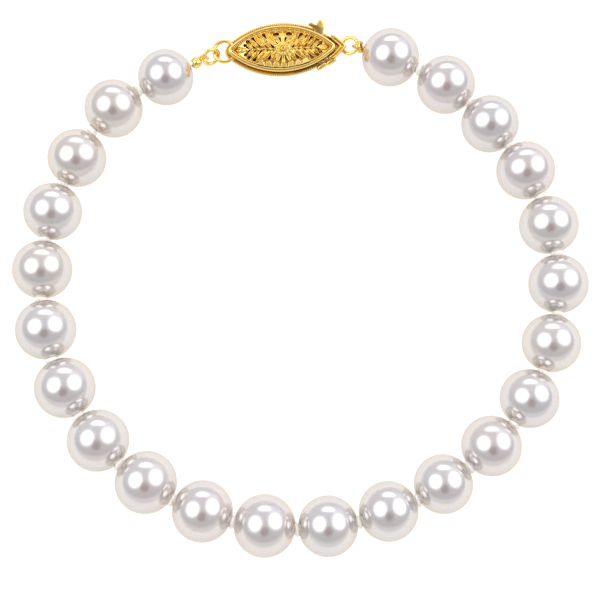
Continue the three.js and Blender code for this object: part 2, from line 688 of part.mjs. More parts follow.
// Release lever: flexing leaf with the thumb tab.
function leverGeometry() {
  const bottom = LEVER_BOTTOM;
  const top = LEVER_BOTTOM + LEVER_THICKNESS;
  const rimY = halfWidthAt(TAB_X);
  const root = (rimY - 0.75) / TAB_REACH;
  const shares = [
    [-0.4, -root], [0.1, -root], [0.28, 0.13], [0.45, 0.57], [0.27, 0.94], [-0.05, 1],
    [-0.31, 0.77], [-0.44, 0.59], [-0.8, 0.81], [-1.1, 0.72], [-1.1, 0.54], [-0.69, 0.23],
  ];
  const paddle = shares
    .map(([x, y]) => new THREE.Vector2(TAB_X + x * TAB_REACH, rimY + y * TAB_REACH));
  const body = joined([
    disc(PIVOT_X, 0, LEVER_EYE, bottom, top),
    bar(PIVOT_X, 0, TAB_X - 0.2, 0.85, 0.62, bottom, top),
    plate(paddle, bottom, top),
  ]);
  const bore = toSolid(disc(PIVOT_X, 0, PIVOT_RADIUS + CLEARANCE, bottom - 1, top + 1));
  return toGeometry(body.subtract(bore));
}

// Assembly.
const group = new THREE.Group();
pearlsAt.forEach((_, k) => group.add(pearlMesh(k)));
group.add(named('silk_thread', silkGeometry(), SILK));

const leftRing = named('jump_ring_left', ringGeometry(LINK_RING_RADIUS, WIRE_DIAMETER), GOLD);
leftRing.applyMatrix4(leftRingFrame);
const rightRing = named('jump_ring_right', ringGeometry(LINK_RING_RADIUS, WIRE_DIAMETER), GOLD);
rightRing.applyMatrix4(rightRingFrame);
const leftTip = tipGeometry(leftTipAt, leftRingFrame, leftRingAt, holeEnds(0).entry, 0.9,
  BEAD_TIP_DIAMETER);
const rightTip = tipGeometry(rightTipAt, rightRingFrame, rightRingAt,
  holeEnds(pearlsAt.length - 1).exit, 0.78, BEAD_TIP_DIAMETER * 0.62);
group.add(leftRing, rightRing);
group.add(named('bead_tip_left', leftTip, GOLD), named('bead_tip_right', rightTip, GOLD));

const clasp = new THREE.Group();
clasp.applyMatrix4(claspFrame);
clasp.add(named('clasp_case', caseGeometry(), GOLD));
clasp.add(named('clasp_tongue', tongueGeometry(), GOLD));
clasp.add(named('release_lever', leverGeometry(), GOLD));
group.add(clasp);

// The origin is the middle of the bracelet's box, on the surface it lies on.
group.updateMatrixWorld(true);
const box = new THREE.Box3().setFromObject(group, true);
group.position.set(-(box.min.x + box.max.x) / 2, -(box.min.y + box.max.y) / 2, -box.min.z);
group.updateMatrixWorld(true);

export default group;
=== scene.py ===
"""Looks of the knotted pearl bracelet: smooth nacre, twisted silk and the gold filigree clasp."""
import math

import bmesh
import bpy
import numpy as np
from mathutils import Matrix, Vector


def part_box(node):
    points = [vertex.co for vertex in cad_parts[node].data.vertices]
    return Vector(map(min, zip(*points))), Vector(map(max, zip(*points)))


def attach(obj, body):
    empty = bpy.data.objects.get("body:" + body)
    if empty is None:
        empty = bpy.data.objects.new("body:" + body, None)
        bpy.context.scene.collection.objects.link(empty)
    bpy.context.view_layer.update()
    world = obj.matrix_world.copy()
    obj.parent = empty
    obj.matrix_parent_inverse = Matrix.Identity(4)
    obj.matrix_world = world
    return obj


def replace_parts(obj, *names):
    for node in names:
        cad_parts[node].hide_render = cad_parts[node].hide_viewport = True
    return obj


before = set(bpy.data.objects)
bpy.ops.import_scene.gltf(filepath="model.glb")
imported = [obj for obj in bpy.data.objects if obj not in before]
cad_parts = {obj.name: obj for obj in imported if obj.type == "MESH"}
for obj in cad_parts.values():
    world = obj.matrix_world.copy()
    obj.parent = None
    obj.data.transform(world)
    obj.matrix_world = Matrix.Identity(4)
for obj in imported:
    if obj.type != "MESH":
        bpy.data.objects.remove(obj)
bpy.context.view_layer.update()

MM = 0.001
BODY = "bracelet"
LEVER = "release_lever"

# Sizes in mm. They are the solids', but the ring and hook wires are 0.02 mm thicker and the
# flower field's inner line lies 0.07 mm further in.
PEARL_COUNT = 23
AXIAL_SHARE = 0.985 / 1.01  # a pearl's size along the string over its size across it
DRILL_RADIUS = 0.45
SILK_RADIUS = 0.25
WIRE_RADIUS = 0.21
LINK_RADIUS = 0.97
END_RING_RADIUS = 1.24
TIP_RADIUS = 0.65
HOOK_WIRE_RADIUS = 0.15
CASE_LENGTH = 13.35
CASE_WIDTH = 6.19
CASE_TIP_RADIUS = 1.05
TIP_CENTRE = CASE_LENGTH / 2 - CASE_TIP_RADIUS
ARC_RADIUS = ((TIP_CENTRE ** 2 + CASE_WIDTH ** 2 / 4 - CASE_TIP_RADIUS ** 2)
              / (CASE_WIDTH - 2 * CASE_TIP_RADIUS))
ARC_DROP = ARC_RADIUS - CASE_WIDTH / 2
SHELL_INSET = 0.4
FIELD_INSET = 0.95
PIVOT_X = -CASE_LENGTH * 0.17
TAB_X = CASE_LENGTH * 0.349
TAB_REACH = 1.3
LOBE_RADIUS = 0.3
END_RING_X = -CASE_LENGTH / 2 - 0.05
END_RING_LEAN = -12
RING_LINE = 0.85
END_CAP_X = CASE_LENGTH / 2 + 0.9

# Places of the metal parts in the part's frame, mm.
CLASP_AT = Vector((-1.6163, 28.2552, 0.7487))
CLASP_AXES = (Vector((0.99978, 0.02093, 0.0)), Vector((-0.02031, 0.97008, 0.24192)),
              Vector((0.00506, -0.24187, 0.97030)))
LEFT_RING_AT = Vector((-9.9288, 27.2805, 1.6735))
LEFT_RING_AXES = (Vector((0.88110, 0.45726, -0.12070)), Vector((0.44741, -0.72326, 0.52605)))
LEFT_TIP_AT = Vector((-11.6249, 26.2018, 2.7))
RIGHT_TIP_AT = Vector((7.5169, 27.6427, 3.0375))
RIGHT_RING_AT = Vector((6.3413, 28.2161, 1.9735))
RIGHT_RING_AXES = (Vector((0.85468, -0.41687, 0.30941)), Vector((-0.36317, -0.05419, 0.93015)))

rng = np.random.default_rng(7)


# Materials.
SILK_PAINTED_GLOW = 0.15  # painted glow: emission that lightens the silk and knots, which sit in shade between the pearls
SURFACE_GLOW = 0.88  # keeps the surface white with hardly any shadow


def material(name):
    mat = bpy.data.materials.new(name)
    mat.use_nodes = True
    return mat, mat.node_tree.nodes, mat.node_tree.links


def noise_node(nodes, links, scale, detail):
    coord = nodes.new("ShaderNodeTexCoord")
    noise = nodes.new("ShaderNodeTexNoise")
    noise.inputs["Scale"].default_value = scale
    noise.inputs["Detail"].default_value = detail
    links.new(coord.outputs["Object"], noise.inputs["Vector"])
    return noise


def ramp_node(nodes, links, source, stops):
    ramp = nodes.new("ShaderNodeValToRGB")
    elements = ramp.color_ramp.elements
    elements[0].position, elements[0].color = stops[0][0], (*stops[0][1], 1)
    elements[1].position, elements[1].color = stops[-1][0], (*stops[-1][1], 1)
    for position, color in stops[1:-1]:
        elements.new(position).color = (*color, 1)
    links.new(source, ramp.inputs["Fac"])
    return ramp


def bump_node(nodes, links, source, strength, distance):
    bump = nodes.new("ShaderNodeBump")
    bump.inputs["Strength"].default_value = strength
    bump.inputs["Distance"].default_value = distance
    links.new(source, bump.inputs["Height"])
    return bump


def nacre_material(name, tint):
    mat, nodes, links = material(name)
    shader = nodes["Principled BSDF"]
    cloud = noise_node(nodes, links, 260.0, 2.0)
    pale = tuple(min(1.0, c * t) for c, t in zip((0.715, 0.69, 0.675), tint))
    warm = tuple(min(1.0, c * t) for c, t in zip((0.745, 0.705, 0.66), tint))
    ramp = ramp_node(nodes, links, cloud.outputs["Fac"], [(0.35, pale), (0.68, warm)])
    links.new(ramp.outputs["Color"], shader.inputs["Base Color"])
    grain = noise_node(nodes, links, 2600.0, 3.0)
    bump = bump_node(nodes, links, grain.outputs["Fac"], 0.05, 0.00002)
    links.new(bump.outputs["Normal"], shader.inputs["Normal"])
    shader.inputs["Metallic"].default_value = 0.7
    shader.inputs["Roughness"].default_value = 0.16
    shader.inputs["Specular Tint"].default_value = (0.84, 0.72, 0.57, 1)
    shader.inputs["IOR"].default_value = 1.6
    shader.inputs["Coat Weight"].default_value = 0.12
    shader.inputs["Coat Roughness"].default_value = 0.05
    shader.inputs["Coat IOR"].default_value = 1.5
    return mat


def silk_material():
    mat, nodes, links = material("silk_twist")
    shader = nodes["Principled BSDF"]
    fibre = noise_node(nodes, links, 5200.0, 4.0)
    ramp = ramp_node(nodes, links, fibre.outputs["Fac"],
                     [(0.3, (0.84, 0.81, 0.74)), (0.7, (0.95, 0.93, 0.88))])
    links.new(ramp.outputs["Color"], shader.inputs["Base Color"])
    bump = bump_node(nodes, links, fibre.outputs["Fac"], 0.5, 0.00004)
    links.new(bump.outputs["Normal"], shader.inputs["Normal"])
    shader.inputs["Roughness"].default_value = 0.62
    shader.inputs["Sheen Weight"].default_value = 0.4
    shader.inputs["Sheen Roughness"].default_value = 0.4
    # painted glow: emission makes the silk and knots give off light of their own, though they are
    # no lamp
    shader.inputs["Emission Color"].default_value = (1.0, 0.97, 0.90, 1)
    shader.inputs["Emission Strength"].default_value = SILK_PAINTED_GLOW
    return mat


def gold_material(name, roughness, bump_strength, bump_scale):
    mat, nodes, links = material(name)
    shader = nodes["Principled BSDF"]
    cloud = noise_node(nodes, links, 700.0, 3.0)
    ramp = ramp_node(nodes, links, cloud.outputs["Fac"],
                     [(0.3, (0.93, 0.67, 0.20)), (0.7, (0.97, 0.75, 0.26))])
    links.new(ramp.outputs["Color"], shader.inputs["Base Color"])
    wear = noise_node(nodes, links, bump_scale, 5.0)
    bump = bump_node(nodes, links, wear.outputs["Fac"], bump_strength, 0.00003)
    links.new(bump.outputs["Normal"], shader.inputs["Normal"])
    rough = nodes.new("ShaderNodeMapRange")
    rough.inputs["To Min"].default_value = roughness * 0.7
    rough.inputs["To Max"].default_value = roughness * 1.4
    links.new(wear.outputs["Fac"], rough.inputs["Value"])
    links.new(rough.outputs["Result"], shader.inputs["Roughness"])
    shader.inputs["Metallic"].default_value = 1.0
    shader.inputs["Specular Tint"].default_value = (0.50, 0.27, 0.06, 1)
    return mat


GOLD = gold_material("polished_gold", 0.12, 0.10, 1500.0)
CAST = gold_material("cast_gold", 0.17, 0.08, 2600.0)
SILK = silk_material()


# Mesh helpers.
def mesh_piece(name, verts, faces, mat, body=BODY, sharp=40.0):
    mesh = bpy.data.meshes.new(name)
    mesh.from_pydata([tuple(v) for v in np.asarray(verts) * MM], [], faces)
    mesh.validate()
    work = bmesh.new()
    work.from_mesh(mesh)
    bmesh.ops.remove_doubles(work, verts=work.verts, dist=1e-8)
    bmesh.ops.recalc_face_normals(work, faces=work.faces)
    work.to_mesh(mesh)
    work.free()
    for polygon in mesh.polygons:
        polygon.use_smooth = True
    if sharp:
        mesh.set_sharp_from_angle(angle=math.radians(sharp))
    mesh.materials.append(mat)
    obj = bpy.data.objects.new(name, mesh)
    bpy.context.scene.collection.objects.link(obj)
    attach(obj, body)
    return obj


def grid_faces(rows, columns, close_rows=False, close_columns=True):
    faces = []
    for r in range(rows if close_rows else rows - 1):
        for c in range(columns if close_columns else columns - 1):
            r2, c2 = (r + 1) % rows, (c + 1) % columns
            faces.append((r * columns + c, r * columns + c2, r2 * columns + c2, r2 * columns + c))
    return faces


def end_faces(rows, columns):
    """The two flat faces that close a tube of rows at its ends."""
    last = (rows - 1) * columns
    return [tuple(range(columns)), tuple(reversed(range(last, last + columns)))]


class Shape:
    """Collects vertices and faces of several surfaces for one piece."""

    def __init__(self):
        self.verts = []
        self.faces = []
        self.count = 0

    def add(self, verts, faces):
        verts = np.asarray(verts, dtype=float)
        self.verts.append(verts)
        self.faces += [tuple(i + self.count for i in face) for face in faces]
        self.count += len(verts)

    def placed(self, origin, x_axis, y_axis, z_axis):
        basis = np.array([x_axis, y_axis, z_axis], dtype=float)
        return np.vstack(self.verts) @ basis + np.array(origin)


def lathe(profile, sides, closed=False):
    """Rows of (radius, height) turned about the local Y axis."""
    angles = np.linspace(0, 2 * np.pi, sides, endpoint=False)
    verts = [(r * math.sin(a), y, r * math.cos(a)) for r, y in profile for a in angles]
    faces = grid_faces(len(profile), sides, close_rows=closed)
    if not closed:
        faces += end_faces(len(profile), sides)
    return np.array(verts), faces


def tube(points, radii, sides=14, closed=False):
    """A round wire along a path, its frames carried along without twist."""
    points = np.asarray(points, dtype=float)
    count = len(points)
    radii = np.broadcast_to(radii, (count,))
    if closed:
        tangents = np.roll(points, -1, 0) - np.roll(points, 1, 0)
    else:
        tangents = np.gradient(points, axis=0)
    tangents /= np.linalg.norm(tangents, axis=1)[:, None]
    side = np.cross(tangents[0], (0.13, 0.21, 0.97))
    side /= np.linalg.norm(side)
    rows = []
    angles = np.linspace(0, 2 * np.pi, sides, endpoint=False)
    for k in range(count):
        side = side - tangents[k] * side.dot(tangents[k])
        side /= np.linalg.norm(side)
        up = np.cross(tangents[k], side)
        rows.append(points[k] + radii[k] * (np.outer(np.cos(angles), side)
                                            + np.outer(np.sin(angles), up)))
    faces = grid_faces(count, sides, close_rows=closed)
    if not closed:
        faces += end_faces(count, sides)
    return np.vstack(rows), faces


def ball(centre, radius, rings=6, sides=8):
    verts = [(0, 0, -radius)]
    for r in range(1, rings):
        polar = math.pi * r / rings
        for s in range(sides):
            turn = 2 * math.pi * s / sides
            verts.append((radius * math.sin(polar) * math.cos(turn),
                          radius * math.sin(polar) * math.sin(turn),
                          -radius * math.cos(polar)))
    verts.append((0, 0, radius))
    last = len(verts) - 1
    faces = [(0, 1 + (s + 1) % sides, 1 + s) for s in range(sides)]
    for r in range(rings - 2):
        for s in range(sides):
            a, b = 1 + r * sides + s, 1 + r * sides + (s + 1) % sides
            faces.append((a, b, b + sides, a + sides))
    top = 1 + (rings - 2) * sides
    faces += [(top + s, top + (s + 1) % sides, last) for s in range(sides)]
    return np.array(verts) + np.array(centre), faces


# Pearls.
def pearl_box(k):
    low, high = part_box(f"pearl_{k + 1:02d}")
    return (Vector(low) + Vector(high)) * (0.5 / MM), (high[2] - low[2]) / MM


PEARLS = [pearl_box(k) for k in range(PEARL_COUNT)]


def pearl_direction(k):
    before = LEFT_TIP_AT if k == 0 else PEARLS[k - 1][0]
    after = RIGHT_TIP_AT if k == PEARL_COUNT - 1 else PEARLS[k + 1][0]
    direction = after - before
    direction.z *= 0.7 if k in (0, PEARL_COUNT - 1) else 0.0
    return direction.normalized()


def lying_axes(direction):
    along = Vector(direction).normalized()
    side = along.cross(Vector((0, 0, -1))).normalized()
    return side, along, side.cross(along)


def pearl_profile(diameter):
    across = diameter / 2
    along = across * AXIAL_SHARE
    lip = 0.07
    edge = math.acos((DRILL_RADIUS + lip) / across)
    rows = [(across * math.cos(a), along * math.sin(a)) for a in np.linspace(-edge, edge, 47)]
    mouth = along * math.sin(edge)
    wall = [(DRILL_RADIUS + lip * (1 - math.sin(t)), mouth - lip * (1 - math.cos(t)) * 0.8)
            for t in np.linspace(0.3, math.pi / 2, 4)]
    rows += wall + [(r, -y) for r, y in reversed(wall)]
    return rows


def make_pearl(k, look):
    centre, diameter = PEARLS[k]
    shape = Shape()
    shape.add(*lathe(pearl_profile(diameter), 64, closed=True))
    placed = shape.placed(centre, *lying_axes(pearl_direction(k)))
    piece = mesh_piece(f"nacre_{k + 1:02d}", placed, shape.faces, look, sharp=35.0)
    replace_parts(piece, f"pearl_{k + 1:02d}")


TINTS = [(1.0, 1.0, 1.0), (1.0, 0.985, 0.99), (1.0, 0.99, 0.965), (0.985, 0.99, 1.0)]
NACRES = [nacre_material(f"nacre_{k}", tint) for k, tint in enumerate(TINTS)]
LOOK_ORDER = [NACRES[i] for i in rng.integers(0, len(NACRES), PEARL_COUNT)]
for pearl in range(PEARL_COUNT):
    make_pearl(pearl, LOOK_ORDER[pearl])


# Silk.
# A knot's width is this share of the space between two pearls and a fixed part in mm, so that
# in a narrow space it reaches into the mouths of the two holes.
KNOT_SPACE_SHARE = 0.6
KNOT_FIXED_WIDTH = 0.42
KNOT_SIZE = 0.78  # largest width, and the radius, mm
THREAD_START = 0.39  # from a bead tip's centre to the thread's end, mm


def hole_end(k, sign):
    centre, diameter = PEARLS[k]
    return centre + pearl_direction(k) * (sign * diameter / 2 * AXIAL_SHARE)


def knot_surface(centre, direction, width, radius, seed):
    """A tight overhand knot: a plump ring of two silk strands wound round the string."""
    side, along, down = lying_axes(direction)
    rows = []
    steps, sides = 18, 44
    for r in range(steps):
        t = -1 + 2 * (r + 0.5) / steps
        bulge = math.sqrt(max(0.0, 1 - abs(t) ** 2.4))
        for s in range(sides):
            phi = 2 * math.pi * s / sides
            strand = abs(math.sin(1.5 * phi + 2.6 * t + seed))
            lump = 0.86 + 0.14 * strand + 0.06 * math.sin(2 * phi + seed * 2.3)
            reach = SILK_RADIUS * 0.8 + (radius - SILK_RADIUS * 0.8) * bulge * lump
            lean = 0.16 * width * math.sin(phi + seed)
            point = (centre + along * (t * width / 2 + lean * bulge)
                     + side * (reach * math.cos(phi)) + down * (reach * math.sin(phi)))
            rows.append(point)
    return np.array(rows), grid_faces(steps, sides) + end_faces(steps, sides)


def make_silk():
    shape = Shape()
    path = [LEFT_TIP_AT + (hole_end(0, -1) - LEFT_TIP_AT).normalized() * THREAD_START]
    for k in range(PEARL_COUNT):
        path += [hole_end(k, -1), hole_end(k, 1)]
    last = hole_end(PEARL_COUNT - 1, 1)
    path.append(RIGHT_TIP_AT + (last - RIGHT_TIP_AT).normalized() * THREAD_START)
    fine = []
    for a, b in zip(path, path[1:]):
        pieces = max(2, int((b - a).length / 0.12))
        fine += [a.lerp(b, i / pieces) for i in range(pieces)]
    fine.append(path[-1])
    shape.add(*tube(fine, SILK_RADIUS * 0.92, sides=10))
    for k in range(PEARL_COUNT - 1):
        a, b = hole_end(k, 1), hole_end(k + 1, -1)
        middle = (a + b) / 2
        direction = (pearl_direction(k) + pearl_direction(k + 1)).normalized()
        width = min((b - a).length * KNOT_SPACE_SHARE + KNOT_FIXED_WIDTH, KNOT_SIZE)
        shape.add(*knot_surface(middle, direction, width, KNOT_SIZE, k * 1.7))
    piece = mesh_piece("silk_and_knots", np.vstack(shape.verts), shape.faces, SILK,
                       sharp=0)
    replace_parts(piece, "silk_thread")


make_silk()


# Rings and bead tips.
def ring_points(centre, x_axis, normal, radius, start, end, count):
    x_axis = Vector(x_axis).normalized()
    normal = Vector(normal).normalized()
    y_axis = normal.cross(x_axis)
    angles = np.radians(np.linspace(start, end, count))
    return [centre + x_axis * (radius * math.cos(a)) + y_axis * (radius * math.sin(a))
            for a in angles]


def make_jump_ring(name, node, centre, axes, seam):
    points = ring_points(centre, *axes, LINK_RADIUS, seam + 1.6, seam + 358.4, 72)
    shape = Shape()
    shape.add(*tube(points, WIRE_RADIUS, sides=18))
    piece = mesh_piece(name, np.vstack(shape.verts), shape.faces, GOLD)
    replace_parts(piece, node)


def hook_frame(tip_at, ring_at, normal):
    towards = tip_at - ring_at
    towards = (towards - normal * towards.dot(normal)).normalized()
    wire_at = ring_at + towards * LINK_RADIUS
    run = normal.cross(towards)
    reach = tip_at - wire_at
    along = (reach - run * reach.dot(run)).normalized()
    return wire_at, along, run


def make_tip(name, node, tip_at, ring_at, normal, thread_to, profile, wrap):
    shape = Shape()
    verts, faces = lathe(profile, 40)
    side, along, down = lying_axes(thread_to - tip_at)
    body = verts @ np.array([side, along, down]) + np.array(tip_at)
    shape.add(body, faces)
    wire_at, reach, run = hook_frame(tip_at, ring_at, normal)
    radius = WIRE_RADIUS + HOOK_WIRE_RADIUS + 0.12
    loop = ring_points(wire_at, reach, run, radius, 0, wrap, 40)
    neck = [tip_at.lerp(loop[0], t) for t in np.linspace(0.3, 0.97, 8)]
    path = neck + loop[1:]
    thickness = np.array([HOOK_WIRE_RADIUS * 1.12] * 8 + [HOOK_WIRE_RADIUS] * (len(loop) - 1))
    thickness[-1] *= 0.75
    shape.add(*tube(path, thickness, sides=14))
    piece = mesh_piece(name, np.vstack(shape.verts), shape.faces, GOLD, sharp=50)
    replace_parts(piece, node)


def ball_profile():
    rows = []
    for t in np.linspace(-0.5 * math.pi + 0.12, 0.5 * math.pi - 0.42, 26):
        crease = 0.075 * math.exp(-((math.sin(t) + 0.12) / 0.1) ** 2)
        rows.append(((TIP_RADIUS - crease) * math.cos(t), TIP_RADIUS * math.sin(t)))
    rows += [(0.34, TIP_RADIUS * 0.86), (0.34, TIP_RADIUS * 0.4)]
    return rows


def cup_profile():
    rows = [(0.13, -0.42), (0.36, -0.41), (0.55, -0.36), (0.66, -0.25), (0.70, -0.14)]
    rows += [(0.66, -0.05), (0.635, -0.01), (0.65, 0.03), (0.70, 0.09), (0.715, 0.16)]
    rows += [(0.68, 0.24), (0.6, 0.28), (0.5, 0.27), (0.38, 0.22), (0.35, 0.0)]
    return rows


make_jump_ring("ring_left", "jump_ring_left", LEFT_RING_AT, LEFT_RING_AXES, 118)
make_jump_ring("ring_right", "jump_ring_right", RIGHT_RING_AT, RIGHT_RING_AXES, 60)
make_tip("ball_tip", "bead_tip_left", LEFT_TIP_AT, LEFT_RING_AT, LEFT_RING_AXES[1],
         hole_end(0, -1), ball_profile(), 335)
make_tip("cup_tip", "bead_tip_right", RIGHT_TIP_AT, RIGHT_RING_AT, RIGHT_RING_AXES[1],
         hole_end(PEARL_COUNT - 1, 1), cup_profile(), 335)


# The clasp's outline in its own frame: two long arcs and two small round tips.
def half_width(x, inset=0.0):
    return math.sqrt(max((ARC_RADIUS - inset) ** 2 - x * x, 0.0)) - ARC_DROP


def outline(inset, long_steps=70, tip_steps=14):
    reach = math.atan2(TIP_CENTRE, ARC_DROP)
    points = []
    for side in (1, -1):
        turn = side * math.pi / 2
        for angle in np.linspace(turn - reach, turn + reach, long_steps, endpoint=False):
            points.append(((ARC_RADIUS - inset) * math.cos(angle),
                           (ARC_RADIUS - inset) * math.sin(angle) - ARC_DROP * side))
        radius = max(CASE_TIP_RADIUS - inset, 0.01)
        for angle in np.linspace(turn + reach, turn + math.pi - reach, tip_steps,
                                 endpoint=False):
            points.append((radius * math.cos(angle) - TIP_CENTRE * side,
                           radius * math.sin(angle)))
    return points


def outline_loft(section, long_steps=70, tip_steps=14, closed=True):
    """Sweeps (inset, height) rows round the outline."""
    verts = []
    for inset, z in section:
        verts += [(x, y, z) for x, y in outline(inset, long_steps, tip_steps)]
    columns = 2 * (long_steps + tip_steps)
    faces = grid_faces(len(section), columns, close_rows=closed)
    if not closed:
        faces += end_faces(len(section), columns)
    return np.array(verts), faces


def clasp_piece(name, shape, mat, body=BODY, sharp=40.0):
    return mesh_piece(name, shape.placed(CLASP_AT, *CLASP_AXES), shape.faces, mat, body=body,
                      sharp=sharp)


def outline_steps(inset, spacing):
    points = outline(inset, 300, 60)
    lengths = [0.0]
    for a, b in zip(points, points[1:] + points[:1]):
        lengths.append(lengths[-1] + math.dist(a, b))
    count = int(lengths[-1] / spacing)
    stations = np.linspace(0, lengths[-1], count, endpoint=False)
    xs = np.interp(stations, lengths, [p[0] for p in points] + [points[0][0]])
    ys = np.interp(stations, lengths, [p[1] for p in points] + [points[0][1]])
    return list(zip(xs, ys))


def make_milgrain(name, inset, spacing, radius, height):
    shape = Shape()
    for x, y in outline_steps(inset, spacing):
        shape.add(*ball((x, y, height), radius))
    return clasp_piece(name, shape, GOLD, sharp=0)


def make_wall():
    outer, inner = outline(0.5), outline(0.8)
    keep = [x < (CASE_LENGTH * 0.2 if y > 0 else CASE_LENGTH * 0.1) for x, y in outer]
    start = next(k for k in range(len(keep)) if keep[k] and not keep[k - 1])
    rows = []
    for k in range(sum(keep)):
        (xo, yo), (xi, yi) = outer[(start + k) % len(keep)], inner[(start + k) % len(keep)]
        rows += [(xo, yo, 0.5), (xo, yo, 1.4), (xi, yi, 1.4), (xi, yi, 0.5)]
    faces = grid_faces(len(rows) // 4, 4)
    faces += [(0, 1, 2, 3), tuple(range(len(rows) - 4, len(rows)))]
    wall = Shape()
    wall.add(rows, faces)
    return clasp_piece("case_wall", wall, GOLD)


def make_case():
    back = Shape()
    back.add(*outline_loft([(0.12, 0.0), (0.03, 0.03), (0.0, 0.1), (0.0, 0.4), (0.03, 0.47),
                            (0.1, 0.5), (0.2, 0.5), (0.24, 0.56), (0.3, 0.56), (0.33, 0.5)],
                           closed=False))
    pieces = [clasp_piece("case_back", back, GOLD)]
    pieces.append(make_milgrain("edge_milgrain", 0.125, 0.245, 0.12, 0.53))
    rail = Shape()
    width = FIELD_INSET - SHELL_INSET - 0.07
    section = [(SHELL_INSET + 0.02, 1.34), (SHELL_INSET - 0.01, 1.5), (SHELL_INSET, 1.75)]
    for t in np.linspace(0.15, math.pi - 0.25, 12):
        section.append((SHELL_INSET + width * (0.5 - 0.5 * math.cos(t)),
                        1.84 + 0.31 * math.sin(t) ** 0.8))
    section += [(SHELL_INSET + width, 1.84), (SHELL_INSET + width, 1.34)]
    rail.add(*outline_loft(section, 120, 24))
    pieces.append(clasp_piece("case_rail", rail, GOLD, sharp=60))
    pieces.append(make_milgrain("inner_milgrain", FIELD_INSET, 0.2, 0.098, 1.9))
    pieces.append(make_wall())
    ring = Shape()
    ring_at = Vector((END_RING_X, 0, RING_LINE))
    lean = math.radians(END_RING_LEAN)
    normal = Vector((0, -math.sin(lean), math.cos(lean)))
    ring.add(*tube(ring_points(ring_at, (1, 0, 0), normal, END_RING_RADIUS, 0, 355, 72),
                   WIRE_RADIUS, sides=18, closed=True))
    pieces.append(clasp_piece("end_ring", ring, GOLD))
    return pieces


# Pierced flower and leaf sheet, as a height field.
SHEET_Z = 1.82
PIT_Z = 1.3
FLOWER_X = 0.15
GRID_STEP = 0.034
FLOOR = -1.0  # stands for no metal
SINK_FROM = 3.9  # from the middle to where the sheet starts to sink towards its ends
SINK_SLOPE = 0.3
SINK_BLEND = 0.3
CROWN = 0.18  # how much the sheet rises along its middle line


def leaf_form(x, y, at, turn, length, width, height, point, rim):
    """Height of a leaf with a raised rim and a sunk middle line, FLOOR outside it."""
    c, s = math.cos(turn), math.sin(turn)
    u = ((x - at[0]) * c + (y - at[1]) * s) / (length / 2)
    v = (-(x - at[0]) * s + (y - at[1]) * c) / (width / 2)
    half = np.clip(1 - u ** 2, 0, None) ** point * (1 - 0.22 * u)
    d = np.abs(v) / (half + 1e-6)
    inside = (np.abs(u) < 1) & (d < 1)
    form = 1 - rim + rim * np.exp(-((d - 0.72) / 0.24) ** 2)
    form *= np.clip(1 - d ** 6, 0, 1) ** 0.5 * (0.55 + 0.45 * np.clip(half * 1.6, 0, 1))
    form -= 0.35 * np.exp(-(v / 0.13) ** 2) * (half > 0.25)
    return np.where(inside, 0.1 + height * np.clip(form, 0, None), FLOOR)


def petal_form(x, y, angle, inner, reach, width, height):
    """A fluted petal that widens outwards and ends in a blunt point."""
    c, s = math.cos(angle), math.sin(angle)
    along = (x - FLOWER_X) * c + y * s
    across = -(x - FLOWER_X) * s + y * c
    u = (along - inner) / (reach - inner)
    half = width / 2 * np.clip(u, 0, 1) ** 0.45 * np.clip((1 - u) / 0.34, 0, 1) ** 0.55
    d = np.abs(across) / (half + 1e-6)
    inside = (u > 0) & (u < 1) & (d < 1)
    form = 0.62 + 0.38 * np.exp(-((d - 0.8) / 0.2) ** 2)
    form -= 0.3 * (0.5 + 0.5 * np.cos(across / (width / 2) * 3 * math.pi)) * np.clip(u * 2, 0, 1)
    form *= np.clip(1 - d ** 8, 0, 1) ** 0.5 * (0.75 + 0.35 * np.clip(u, 0, 1))
    return np.where(inside, 0.12 + height * np.clip(form, 0, None), FLOOR)


def round_form(x, y, at, radius, height, power=0.5):
    d = np.hypot(x - at[0], y - at[1]) / radius
    return np.where(d < 1, 0.1 + height * np.clip(1 - d ** 2, 0, 1) ** power, FLOOR)


def scroll_form(x, y, at, radius, wire, height, start, turns):
    """A wire scroll that winds in from its radius."""
    best = np.full_like(x, FLOOR)
    for t in np.linspace(0, 1, int(26 * turns)):
        angle = start + t * turns * 2 * math.pi
        r = radius * (1 - 0.7 * t)
        best = np.maximum(best, round_form(x, y, (at[0] + r * math.cos(angle),
                                                  at[1] + r * math.sin(angle)),
                                           wire, height, 0.6))
    return best


PETALS = [(90, 1.86, 0.66), (57, 1.5, 0.6), (123, 1.5, 0.6), (27, 1.3, 0.52), (153, 1.3, 0.52),
          (-3, 1.16, 0.44), (183, 1.16, 0.44), (-33, 1.4, 0.54), (213, 1.4, 0.54),
          (-62, 1.78, 0.62), (242, 1.78, 0.62), (-90, 1.9, 0.6)]


def flower(x, y):
    best = np.full_like(x, FLOOR)
    for degrees, reach, width in PETALS:
        best = np.maximum(best, petal_form(x, y, math.radians(degrees), 0.3, reach, width, 0.4))
    for k in range(12):
        angle = math.radians(15 + 30 * k)
        at = (FLOWER_X + 0.62 * math.cos(angle), 0.62 * math.sin(angle))
        best = np.maximum(best, leaf_form(x, y, at, angle, 0.5, 0.2, 0.34, 0.7, 0.2))
    best = np.maximum(best, round_form(x, y, (FLOWER_X, 0), 0.5, 0.3, 0.4))
    bead = round_form(x, y, (FLOWER_X, 0), 0.42, 0.75, 0.5)
    dimple = np.exp(-(np.hypot(x - FLOWER_X - 0.02, y - 0.02) / 0.11) ** 2) * 0.5
    return np.maximum(best, np.where(bead > 0, bead - dimple, FLOOR))


# Sprig leaves as (foot along the stem, angle, share of the room), upper side then lower side.
SPRIG = {1: [(0.62, 54, 0.98), (1.3, 48, 0.86), (2.0, 49, 0.98), (2.75, 46, 0.92),
             (3.45, 42, 0.74)],
         -1: [(0.55, 56, 0.66), (1.15, 44, 0.72), (1.85, 46, 0.86), (2.6, 43, 0.88),
              (3.3, 40, 0.74)]}


